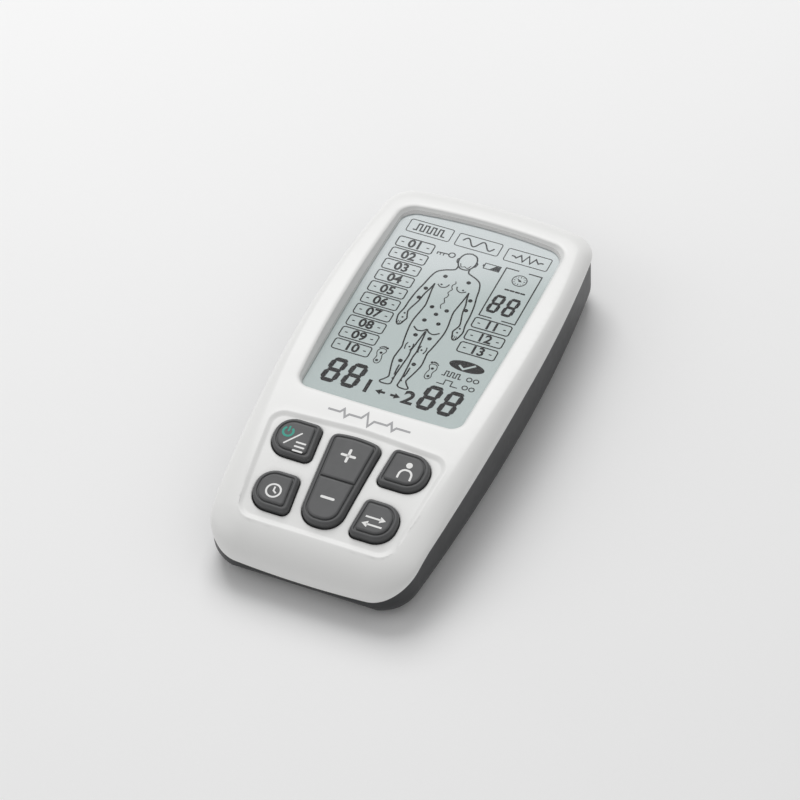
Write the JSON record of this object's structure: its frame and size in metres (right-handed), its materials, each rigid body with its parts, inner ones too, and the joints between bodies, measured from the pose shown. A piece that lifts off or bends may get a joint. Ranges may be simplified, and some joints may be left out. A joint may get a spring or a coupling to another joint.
{
  "type": "tens unit",
  "caption": "Hand-held nerve stimulator with an arched white face, large LCD window, rubber keys, level rocker, battery door and lead sockets.",
  "frame": {"origin": "centre of the back, on the plane the unit lies on", "axes": "+X across the unit, +Y along it towards the display and output sockets, +Z out of the face"},
  "size_m": [0.0648, 0.1319, 0.023],
  "materials": {
    "white_shell": "satin moulded ABS",
    "grey_shell": "fine satin moulded ABS",
    "window": "clear hard-coated acrylic",
    "foam": "soft foam",
    "lcd_glass": "reflective grey-green",
    "natural_plastic": "moulded",
    "silicone_strip": "layered silicone",
    "circuit_board": "solder mask",
    "steel": "zinc plated",
    "keypad_mat": "silicone",
    "key_rubber": "matte silicone",
    "flex_cable": "polyimide film",
    "chip": "moulded epoxy",
    "ferrite": "sintered",
    "capacitor_can": "sleeved",
    "contact_metal": "nickel plated",
    "cell": "printed sleeve",
    "socket_plastic": "moulded"
  },
  "bodies": {
    "root": {"battery_1": "cell", "battery_2": "cell", "battery_3": "cell", "board_link": "flex_cable", "board_screws": "steel", "buzzer": "chip", "capacitors": "capacitor_can", "case_screws": "steel", "contact_plates": "contact_metal", "contact_springs": "contact_metal", "display_window": "window", "front_housing": "white_shell", "key_board": "circuit_board", "keypad_mat": "keypad_mat", "lcd_carrier": "natural_plastic", "lcd_gasket": "foam", "lcd_panel": "lcd_glass", "main_board": "circuit_board", "microcontroller": "chip", "output_socket_left": "socket_plastic", "output_socket_right": "socket_plastic", "pulse_transformer_left": "ferrite", "pulse_transformer_right": "ferrite", "rear_housing": "grey_shell", "socket_contact_left": "contact_metal", "socket_contact_right": "contact_metal", "zebra_strip": "silicone_strip"},
    "key_power": {"key_power": "key_rubber"},
    "key_body": {"key_body": "key_rubber"},
    "key_timer": {"key_timer": "key_rubber"},
    "key_channel": {"key_channel": "key_rubber"},
    "key_level": {"key_level": "key_rubber"},
    "battery_door": {"battery_door": "grey_shell"}
  },
  "joints": [
    {"name": "power_key_press", "type": "slide", "parent": "root", "child": "key_power", "axis": [0, 0.1667, -0.986], "range_m": [0, 0.0008], "stiffness_N_per_m": 1500, "springref_m": -0.0002},
    {"name": "body_key_press", "type": "slide", "parent": "root", "child": "key_body", "axis": [0, 0.1667, -0.986], "range_m": [0, 0.0008], "stiffness_N_per_m": 1500, "springref_m": -0.0002},
    {"name": "timer_key_press", "type": "slide", "parent": "root", "child": "key_timer", "axis": [0, 0.1667, -0.986], "range_m": [0, 0.0008], "stiffness_N_per_m": 1500, "springref_m": -0.0002},
    {"name": "channel_key_press", "type": "slide", "parent": "root", "child": "key_channel", "axis": [0, 0.1667, -0.986], "range_m": [0, 0.0008], "stiffness_N_per_m": 1500, "springref_m": -0.0002},
    {"name": "level_key_rock", "type": "hinge", "parent": "root", "child": "key_level", "pos_m": [0, -0.04069, 0.01558], "axis": [1, 0, 0], "range_deg": [-1.6, 1.6], "stiffness_Nm_per_rad": 0.3},
    {"name": "battery_door_open", "type": "hinge", "parent": "root", "child": "battery_door", "pos_m": [0, 0.0017, 0.0012], "axis": [-1, 0, 0], "range_deg": [0, 60]}
  ]
}
